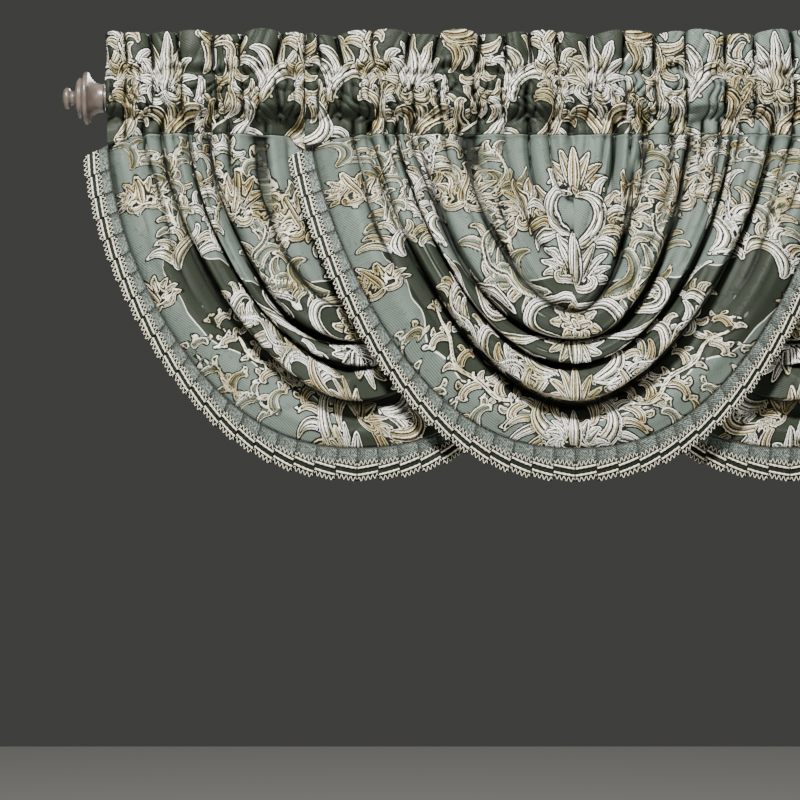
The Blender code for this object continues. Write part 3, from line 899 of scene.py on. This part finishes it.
    # The figures, the ribs and the floats stand out, and the crinkles sink in
    raised = add(tree, "MapRange", (depth, -0.4, 1.6), **SOFT_EDGE)
    raised = add(tree, "Math", (raised, 0.6), operation="MULTIPLY")
    ribs = add(tree, "Math", (rib, 0.15), operation="MULTIPLY")
    height = add(tree, "Math", (raised, ribs), operation="ADD")
    threads = add(tree, "Math", (floats, inside), operation="MULTIPLY")
    threads = add(tree, "Math", (threads, 0.3), operation="MULTIPLY")
    height = add(tree, "Math", (height, threads), operation="ADD")
    height = add(tree, "Math", (crinkle, -0.5, height), operation="MULTIPLY_ADD")
    bump = add(tree, "Bump", {"Strength": 0.8, "Distance": 0.0009, "Height": height})
    tree.links.new(bump, shader.inputs["Normal"])
    return material


def twill_material():
    """Sage polyester twill, woven and knife pleated: fine diagonal ribs."""
    material, tree, shader = new_material(
        "sage_twill", 0.65, Specular_IOR_Level=0.2, Sheen_Weight=0.15, Sheen_Roughness=0.5)
    # Ribs at 45 degrees, 2.1 mm apart, coarser than real to show
    rib = add(tree, "TexWave",
              {"Vector": flat_place(tree, 45.0), "Scale": 0.15, "Distortion": 0.4, "Detail": 1.0},
              "Fac", wave_type="BANDS", bands_direction="X")
    # Painted shade: crease darkens the twill to near black at each pleat's fold, across the start
    # of the next pleat that the fold overlaps, and along the seam with the drape
    crease = add(tree, "Attribute", out="Fac", attribute_name="crease")
    uneven = add(tree, "TexNoise", {"Vector": flat_place(tree), "Scale": 0.4, "Detail": 3.0}, "Fac")
    ribs = add(tree, "Math", (rib, 0.6, -1.1), operation="MULTIPLY_ADD")
    light = add(tree, "Math", (uneven, 2.6, ribs), operation="MULTIPLY_ADD")
    sage = add(tree, "ValToRGB", (light,),
               stops=((0.1, "#1d221e"), (0.5, "#4d564f"), (0.9, "#878f87")))
    colour = add(tree, "Mix", {0: crease, 6: sage, 7: "#191d17"}, **COLOURS)
    tree.links.new(colour, shader.inputs["Base Color"])
    bump = add(tree, "Bump", {"Strength": 0.4, "Distance": 0.0004, "Height": rib})
    tree.links.new(bump, shader.inputs["Normal"])
    return material


def fibre_colour(tree, shader, scale, detail, stops):
    """Uneven colour in the piece's own place, joined to the shader. Gives its noise.

    The noise's grain is about 1 / scale of a metre.
    """
    place = add(tree, "TexCoord", out="Object")
    noise = add(tree, "TexNoise", {"Vector": place, "Scale": scale, "Detail": detail}, "Fac")
    colour = add(tree, "ValToRGB", (noise,), stops=stops)
    tree.links.new(colour, shader.inputs["Base Color"])
    return noise


def cord_material():
    """Cream viscose braid cord, twisted and satiny: threads uneven over 2.4 mm."""
    material, tree, shader = new_material(
        "cream_viscose_cord", 0.5, Sheen_Weight=0.3, Sheen_Roughness=0.4)
    fibre_colour(tree, shader, 420.0, 2.0, ((0.3, "#b5ae94"), (0.7, "#e6e1cf")))
    return material


def ribbon_material():
    """Dark green polyester ribbon under the cords, woven: uneven over 3.3 mm."""
    material, tree, shader = new_material("dark_green_ribbon", 0.7, Specular_IOR_Level=0.12)
    fibre_colour(tree, shader, 300.0, 2.0, ((0.3, "#0f130d"), (0.7, "#1d241a")))
    return material


def pewter_material():
    """Cast zinc with a satin paint in antique pewter, rubbed by hand."""
    material, tree, shader = new_material("antique_pewter_paint", 0.36, Coat_Weight=0.25)
    # Tarnish in patches of about 20 mm, duller where it is lighter
    tarnish = fibre_colour(tree, shader, 50.0, 4.0, ((0.3, "#4c433c"), (0.7, "#625750")))
    rough = add(tree, "Math", (tarnish, 0.16, 0.28), operation="MULTIPLY_ADD")
    tree.links.new(rough, shader.inputs["Roughness"])
    return material


def floor_material():
    """Matt pale plaster for the stage."""
    material, _, shader = new_material("pale_plaster", 0.9)
    shader.inputs["Base Color"].default_value = hex_colour("#d9d8d2")
    return material


# ---- pieces -----------------------------------------------------------------


def build_drape(side, material, rows, columns):
    """Draped damask of one valance, replacing its CAD sheet."""
    turn = even_turns(side, columns)
    level = even_levels(rows)
    front = fold_surface(side, level, turn)
    across, down = flat_cloth(side, front, turn)
    # The design is sized to this cut
    wide, tall = DESIGN_HALF / np.abs(across).max(), DESIGN_TALL / down.max()
    figure, tone, strand, vein = draw_figures(drape_pattern(), across * wide, down * tall)
    ground = drape_ground(across * wide, down * tall)
    # Painted shade in the drape's folds: how far each point lies behind its neighbours darkens its
    # colour
    painted_fold_shade = hollows(-front[..., 1], (4, 4), 0.8, 4.2)
    normal = sheet_normals(front)
    relief = 0.9 * soft_step((figure + 0.6) / 1.6)
    # The raised figures run out to nothing at the seams
    edge = (np.minimum(np.arange(rows)[::-1] / 4.0, 1.0) * np.clip(level / 0.4, 0.0, 1.0))[:, None]
    edge = edge * np.clip(np.cos(turn) / 0.06, 0.0, 1.0)
    back = front + normal * CLOTH_THICK
    front = front - normal * (relief * edge)[..., None]
    back[..., 2] = np.minimum(back[..., 2], seam_height(side, back[..., 0]) - SEAM_GAP)
    back[:, 0, 2], back[:, -1, 2] = front[:, 0, 2], front[:, -1, 2]
    back[0] = front[0] + (0.0, CLOTH_THICK, 0.0)
    back[-1] = front[-1] + (0.0, CLOTH_THICK, 0.0)
    coarse = back[::2, ::2]
    uv = np.stack([across, down], axis=-1)

    def both(values):
        return np.concatenate([values.ravel(), values[::2, ::2].ravel()])

    points = np.concatenate([front.reshape(-1, 3), coarse.reshape(-1, 3)])
    uv = np.concatenate([uv.reshape(-1, 2), uv[::2, ::2].reshape(-1, 2)])
    return make_piece("drape_" + side, points, sheet_faces(rows, columns), [material],
                      uv, {"figure": both(figure), "ground": both(ground), "tone": both(tone),
                           "strand": both(strand), "vein": both(vein), "painted_fold_shade": both(painted_fold_shade),
                           "reverse": np.arange(len(points)) >= front.size // 3})


def pleat_places(side, steps):
    """Turns along the hem with each pleat's rise, and the painted shade of each pleat's fold and of
    the overlap after it.
    """
    dense = np.linspace(-HALF_TURN, HALF_TURN, 3001)
    line = hem_surface(side, dense)[:, ::2]
    length = path_lengths(line)
    count = int(round(length[-1] / PLEAT_PITCH))
    pitch = length[-1] / count
    part = np.concatenate([np.linspace(0.03, 0.97, steps), [1.0]])
    places = ((np.arange(count)[:, None] + part[None, :]) * pitch).ravel()
    climb = PLEAT_STEP * soft_step(np.linspace(0.0, 1.0, steps)) ** 0.7
    rise = np.tile(np.concatenate([climb, [PLEAT_STEP / 2.0]]), count)
    # Painted shade: near is 1 at each pleat's fold and falls from 0.65 to 0 across the pleat after
    # it, which the fold overlaps
    near = np.tile(np.concatenate([0.65 * np.linspace(1.0, 0.0, steps) ** 2.0, [1.0]]), count)
    near[steps::steps + 1] = 1.0
    places[0], places[-1] = 0.0, length[-1]
    # Each pleat hangs askew: its end nearer the bottom of the hem is lower
    askew = np.tile(np.concatenate([np.linspace(-0.5, 0.5, steps), [0.0]]), count) * PLEAT_ASKEW
    turn = np.interp(places, length, dense)
    hand = np.where(np.arange(len(askew)) < len(askew) // 2, 1.0, -1.0)
    askew = askew * hand * (0.3 + 0.7 * np.cos(turn))
    return turn, rise, near, places, askew


def trim_surface(side, fractions, turn, rise, askew):
    """Points across the trim: 0 is the seam with the drape, 1 the hem.

    Each pleat's outer part is moved along the trim's width by askew.
    """
    seam = fold_surface(side, np.array([LAST_FOLD * 1.0]), turn, False)[0]
    hem = hem_surface(side, turn)
    share = fractions + askew / TRIM_BELOW_SEAM * soft_step(np.asarray(fractions) / 0.5)
    grid = seam + (hem - seam) * share[..., None]
    grid[..., 1] -= rise
    return grid


def build_trim(side, material):
    """Pleated twill trim of one valance."""
    turn, rise, near, places, askew = pleat_places(side, PLEAT_POINTS)
    if len(turn) % 2 == 0:
        turn, rise, near, places, askew = (np.insert(row, 1, 0.5 * (row[0] + row[1]))
                                           for row in (turn, rise, near, places, askew))
    fractions = np.linspace(0.02, 0.90, 11)
    front = trim_surface(side, fractions[:, None], turn, rise, askew)
    back = front + (0.0, TRIM_THICK, 0.0)
    # Painted shade: the twill is darkened at its pleats' folds and along its seam with the drape
    crease = np.broadcast_to(near, front.shape[:2]).copy()
    crease[0] = 1.0
    uv = np.stack(np.broadcast_arrays(places[None, :], fractions[:, None] * TRIM_WIDE), axis=-1)
    points = np.concatenate([front.reshape(-1, 3), back[::2, ::2].reshape(-1, 3)])
    uv = np.concatenate([uv.reshape(-1, 2), uv[::2, ::2].reshape(-1, 2)])
    crease = np.concatenate([crease.ravel(), crease[::2, ::2].ravel()])
    return make_piece("trim_" + side, points, sheet_faces(*front.shape[:2]), [material],
                      uv, {"crease": crease})


def build_braid(side, cream, dark):
    """Braid of one valance: ribbon, two cords and a zigzag edge each side."""
    turn, rise, _, places, askew = pleat_places(side, PLEAT_POINTS)
    count = int(places[-1] / BRAID_STEP)
    fine = np.linspace(0.0, places[-1], count)
    fine_turn = np.interp(fine, places, turn)
    fine_rise, fine_askew = np.interp(fine, places, rise), np.interp(fine, places, askew)

    def path(fraction, lift, at_turn=fine_turn, at_rise=fine_rise, at_askew=fine_askew):
        return trim_surface(side, fraction, at_turn, at_rise + lift, at_askew)

    strip = np.array([path(np.full(count, share), lift) for share, lift in BRAID_STRIP])
    index = np.arange(len(strip) * count).reshape(len(strip), count)
    quads = grid_quads(len(strip), count).tolist()
    quads += np.stack([index[0, :-1], index[-1, :-1], index[-1, 1:], index[0, 1:]],
                      axis=-1).tolist()
    quads += [index[:, 0].tolist(), index[:, -1].tolist()]
    parts = [(strip, quads, 1)]
    # The cords and the edges' threads are hidden for a moment under each pleat's fold
    pleats = len(places) // (PLEAT_POINTS + 1)
    pitch = places[-1] / pleats
    for number in range(pleats):
        fine = (number + np.linspace(0.03, 0.97, 19)) * pitch
        here = [np.interp(fine, places, row) for row in (turn, rise, askew)]
        for share in CORD_PLACES:
            points, faces = tube(path(share, 2.3, *here), CORD_RADIUS, 8, 0.2, CORD_TWIST)
            parts.append((points, faces, 0))
        fine = (number + np.linspace(0.03, 0.97, 28)) * pitch
        here = [np.interp(fine, places, row) for row in (turn, rise, askew)]
        swing = np.sin(np.arange(28) / 6.0 * 2.0 * math.pi)
        swing = np.sign(swing) * np.abs(swing) ** 0.8
        for share, hand in ZIGZAG_PLACES:
            points, faces = tube(path(share + hand * ZIGZAG_SWING * swing, 1.5, *here),
                                 ZIGZAG_RADIUS, 5)
            parts.append((points, faces, 0))
    points, faces, slots = join_parts(parts)
    return make_piece("braid_" + side + "_cords", points, faces, [cream, dark], slots=slots)


def header_swell(side, x, z):
    """Swell of the gathers at a place: 0 in a pinch, 1 on the puff between two.

    The pinch lines lean and wander a little as they go down.
    """
    seed = SEEDS[side]
    pinches = np.array(PINCHES[side])
    ends = np.minimum(np.abs(x - pinches[0]), np.abs(x - pinches[-1]))
    lean = 4.0 * wander(z + x * 0.4, seed, 120.0) * soft_step(ends / 25.0)
    number = np.interp(x + lean, pinches, np.arange(len(pinches)))
    puff = np.floor(np.minimum(number, len(pinches) - 1.001))
    part = number - puff
    width = np.diff(pinches)[puff.astype(int)]
    swell = np.sin(np.pi * np.clip(part, 0.0, 1.0) ** (1.35 - 0.65 * (puff % 2))) ** 0.42
    return swell * np.clip(width / 38.0, 0.5, 1.15) * (0.9 + 0.18 * np.sin(2.4 * puff + seed))


def header_front(side, x, z):
    """Depth of the header's front over places along and up the header."""
    table = np.array(HEAD_FRONT)[::-1]
    dense = smooth_rows(table, np.linspace(0.0, len(table) - 1.0, 121))
    seed = SEEDS[side]
    # The line of stitches over the pocket wanders up and down
    z = z + 4.5 * wander(x, seed, 55.0) * np.exp(-((z - 34.0) / 11.0) ** 2)
    stand = np.interp(z, dense[:, 0], dense[:, 1])
    puff = np.interp(z, dense[:, 0], dense[:, 2])
    swell = header_swell(side, x, z)
    # Fine gathers fan out from the stitch line and from the seam
    ruffle = soft_step((z - 34.0) / 10.0)
    pocket = soft_step((28.0 - z) / 8.0) * soft_step((z + 36.0) / 10.0)
    stitch = np.exp(-((z - 31.0) / 6.0) ** 2)
    small = puckers(x / 14.0 + 0.35 * np.sin(z / 11.0 + x / 40.0)
                    + 0.2 * np.sin(z / 5.0 + seed), seed)
    cross = puckers(z / 17.0 + 0.7 * np.sin(x / 19.0 + seed) + x / 50.0, seed + 2.0)
    spread = puckers(x / 21.0 + (z - 31.0) / 34.0 * np.sin(x / 45.0 + seed), seed + 4.0)
    fine = (7.0 * pocket + 3.6 * stitch) * (small - 0.45) + 3.0 * ruffle * (spread - 0.6)
    pinched = np.clip(1.0 - swell, 0.0, 1.0) ** 2.6
    fine = fine + 4.6 * pocket * (cross - 0.5) - 18.0 * (ruffle + 0.5 * pocket) * pinched
    front = stand + puff * 1.3 * swell + 2.0 * ruffle + fine + 3.0 * pocket - 1.5 * stitch
    front = front + 5.0 * np.exp(-((z - 37.0) / 8.0) ** 2) * (0.5 + small)
    # No pinch reaches past 6 mm behind the rod's axis: a soft floor
    front = 2.0 * np.log1p(np.exp((front + 6.0) / 2.0)) - 6.0
    front = np.where(np.abs(z) < 24.0, np.maximum(front, 17.0), front)
    # The skirt's gathers run on into the drape's
    edge = fold_surface(side, np.linspace(0.0, LAST_FOLD - 0.4, 400),
                        np.array([-HALF_TURN, HALF_TURN]))
    edge = np.concatenate([edge[::-1, 0], edge[1:, 1]])
    meet = np.interp(x, edge[:, 0], -edge[:, 1]) - 1.0
    share = soft_step((-22.0 - z) / 20.0)
    return -(front + (meet - front) * share)


def header_shape(side, x):
    """Place, depth and height of a header's rows over places along it.

    The rows run down the front, up the skirt's back, over the pocket's back
    and the ruffle's back to the top again, and then round the pocket's inside.
    """
    # The outer end's edge leans inwards over its height
    pull = {"left": soft_step((-535.0 - x) / 22.0), "centre": 0.0 * x,
            "right": -soft_step((x - 535.0) / 22.0)}[side]
    seam = seam_height(side, x + 4.8 * pull)
    top = 75.0 + 4.0 * header_swell(side, x, np.full_like(x, 78.0))
    top = top + 2.6 * wander(x, len(side) * 1.0, 95.0)
    share = np.linspace(0.0, 1.0, HEADER_FRONT_ROWS)[:, None]
    z = top + (seam - top) * share
    y = header_front(side, x + 0.0 * z, z)
    rows = [(z, y)]
    below = np.linspace(0.0, 1.0, 5)[:, None]
    low_z = seam + (-27.0 - seam) * below
    rows.append((low_z, header_front(side, x + 0.0 * low_z, low_z) + 2.6
                 + below * (10.5 - 2.6)))
    back = np.array(HEAD_BACK)
    part = np.linspace(0.0, 2.0, 13)[1:-1]
    dense = smooth_rows(back, part)
    swell = header_swell(side, x + 30.0, x * 0.0)
    rows.append((dense[:, 0:1] + 0.0 * x, dense[:, 1:2] + dense[:, 2:3] * swell))
    above = np.linspace(0.0, 1.0, 12)[:, None]
    high_z = STITCH_HEIGHT + (top - STITCH_HEIGHT) * above
    rows.append((high_z, header_front(side, x + 0.0 * high_z, high_z) + RUFFLE_THICK
                 + (1.0 - above) ** 6 * 2.0))
    pocket = np.array(HEAD_POCKET)
    rows.append((pocket[:, :1] + 0.0 * x, 0.0 * x - pocket[:, 1:]))
    level = np.concatenate([row[0] for row in rows])
    depth = np.concatenate([row[1] for row in rows])
    place = x + HEADER_LEAN * (HEADER_TOP - level) / HEADER_HIGH * pull
    return place, depth, level


def close_ends(obj, middle):
    """Fill the open rims at both ends of a sleeve, each with its pocket's hole."""
    work = bmesh.new()
    work.from_mesh(obj.data)
    open_edges = [edge for edge in work.edges if edge.is_boundary]
    for sign in (-1.0, 1.0):
        chosen = [edge for edge in open_edges
                  if (edge.verts[0].co.x - middle * MM) * sign > 0.0]
        bmesh.ops.triangle_fill(work, use_beauty=True, use_dissolve=False, edges=chosen)
    bmesh.ops.recalc_face_normals(work, faces=work.faces[:])
    work.to_mesh(obj.data)
    work.free()


def build_header(side, material, columns):
    """Gathered sleeve of one valance: ruffle, rod pocket and skirt."""
    pinches = PINCHES[side]
    x = np.linspace(pinches[0], pinches[-1], columns)[None, :]
    place, depth, level = header_shape(side, x)
    inner = len(HEAD_POCKET)
    outer = len(level) - inner
    down = HEADER_TOP - level
    # Flat cloth: the length along the wavy front, and down from the top
    step = np.hypot(np.diff(x[0])[None, :], np.diff(depth, axis=1))
    along = np.concatenate([np.zeros((len(step), 1)), np.cumsum(step, axis=1)], axis=1)
    total = along[20:60, -1].mean()
    across = pinches[0] + averaged(along / along[:, -1:], (9, 1)) * total
    figure, tone, strand, vein = draw_figures(header_pattern(), across, down)
    # Painted shade in the header's pinches and puckers, on the front rows only
    painted_fold_shade = np.maximum(hollows(-depth, (0, 8), 0.6, 4.0), hollows(-depth, (0, 4), 0.5, 2.2))
    seen = np.arange(len(depth))[:, None] < HEADER_FRONT_ROWS - 2
    painted_fold_shade = painted_fold_shade * seen
    # The dark ground ends in a wavy line near the middle header's middle
    edge = {"left": x * 0.0 - 50.0, "centre": x - 62.0 + 10.0 * np.sin(level / 14.0),
            "right": x * 0.0 + 50.0}[side]
    ground = -np.broadcast_to(edge, level.shape) * 0.6
    relief = 0.8 * soft_step((figure + 0.6) / 1.6)
    depth[:outer] -= relief[:outer] * seen[:outer]
    points = np.stack([place, depth, level], axis=-1)
    uv = np.stack([across, down], axis=-1)
    index = np.arange(level.size).reshape(level.shape)
    faces = []
    for first, size in ((0, outer), (outer, inner)):
        ring = index[first:first + size]
        after = np.roll(ring, -1, axis=0)
        faces += np.stack([ring[:, :-1], after[:, :-1], after[:, 1:], ring[:, 1:]],
                          axis=-1).reshape(-1, 4).tolist()
    obj = make_piece("gathered_header_" + side, points.reshape(-1, 3), faces, [material],
                     uv.reshape(-1, 2), {"figure": figure, "ground": ground, "tone": tone,
                                         "strand": strand, "vein": vein, "painted_fold_shade": painted_fold_shade},
                     merge=False)
    close_ends(obj, 0.5 * (pinches[0] + pinches[-1]))
    return obj


def build_finial(side, material):
    """Turned finial: its ring table smoothed and spun about the rod's axis."""
    toward = -1.0 if side == "left" else 1.0
    ring = smooth_rows(FINIAL_RINGS, np.linspace(0.0, len(FINIAL_RINGS) - 1.0, 90))
    # Both ends are closed on the axis, the button's over a small dome
    ring = np.concatenate([[[0.0, 0.0]], ring, [[49.8, 4.0], [49.9, 0.0]]])
    angle = np.linspace(0.0, 2.0 * math.pi, FINIAL_SIDES, endpoint=False)
    grid = np.stack(np.broadcast_arrays(
        toward * (FINIAL_START + ring[:, :1]),
        ring[:, 1:] * np.cos(angle)[None, :],
        ring[:, 1:] * np.sin(angle)[None, :]), axis=-1)
    index = np.arange(len(ring) * FINIAL_SIDES).reshape(-1, FINIAL_SIDES)
    after = np.roll(index, -1, axis=1)
    faces = np.stack([index[:-1], after[:-1], after[1:], index[1:]], axis=-1).reshape(-1, 4)
    return make_piece("turned_finial_" + side, grid.reshape(-1, 3), faces.tolist(), [material])


def build_stage():
    """Pale floor well below the hanging cloth, soft lights and the camera."""
    half, low = 6000.0, -1600.0
    points = [(-half, -half, low), (half, -half, low), (half, half, low), (-half, half, low)]
    floor = make_piece("floor", points, [[0, 1, 2, 3]], [floor_material()], merge=False)
    world = bpy.data.worlds.new("studio")
    bpy.context.scene.world = world
    world.use_nodes = True
    world.node_tree.nodes["Background"].inputs[0].default_value = hex_colour("#dcdcd6")
    world.node_tree.nodes["Background"].inputs[1].default_value = 0.08
    # Lights: place in metres, turn in degrees, size in metres and power in watts
    for name, place, turn, size, power in (
            ("key", (-0.65, -2.1, 1.8), (47.0, 0.0, -12.0), 0.5, 282.0),
            ("fill", (1.5, -2.8, 0.6), (76.0, 0.0, 31.0), 1.2, 20.0),
            ("back", (0.7, 2.7, 1.0), (-66.0, 0.0, -15.0), 1.6, 110.0)):
        light = bpy.data.lights.new(name, "AREA")
        light.energy = power
        light.size = size
        obj = bpy.data.objects.new(name, light)
        obj.location = place
        obj.rotation_euler = [math.radians(value) for value in turn]
        bpy.context.scene.collection.objects.link(obj)
    camera = bpy.data.cameras.new("camera")
    # The view is 948 mm wide at the cloth, 2.98 m away
    camera.sensor_width = 36.0
    camera.lens = camera.sensor_width * 2.98 / 0.948
    obj = bpy.data.objects.new("camera", camera)
    obj.location = (-0.205, -3.0, -0.3598)
    obj.rotation_euler = (math.radians(90.0), 0.0, 0.0)
    bpy.context.scene.collection.objects.link(obj)
    bpy.context.scene.camera = obj


def main():
    """Make every piece, hang it on the root body and hide the CAD part that it replaces."""
    build_stage()
    damask, twill = damask_material(), twill_material()
    cream, dark, pewter = cord_material(), ribbon_material(), pewter_material()
    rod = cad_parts["rod"]
    rod.data.materials.clear()
    rod.data.materials.append(pewter)
    for side in ("left", "right"):
        finial = build_finial(side, pewter)
        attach(finial, "root")
        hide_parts("finial_" + side)
    for side in SIDES:
        middle = side == "centre"
        header = build_header(side, damask, 601 if middle else 221)
        drape = build_drape(side, damask, 181 if middle else 151, 425 if middle else 361)
        trim = build_trim(side, twill)
        braid = build_braid(side, cream, dark)
        for piece, node, slot in ((header, "header_", "damask"), (drape, "swag_", "damask"),
                                  (trim, "band_", "trim"), (braid, "braid_", "braid")):
            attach(piece, "root")
            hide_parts(node + side)


main()
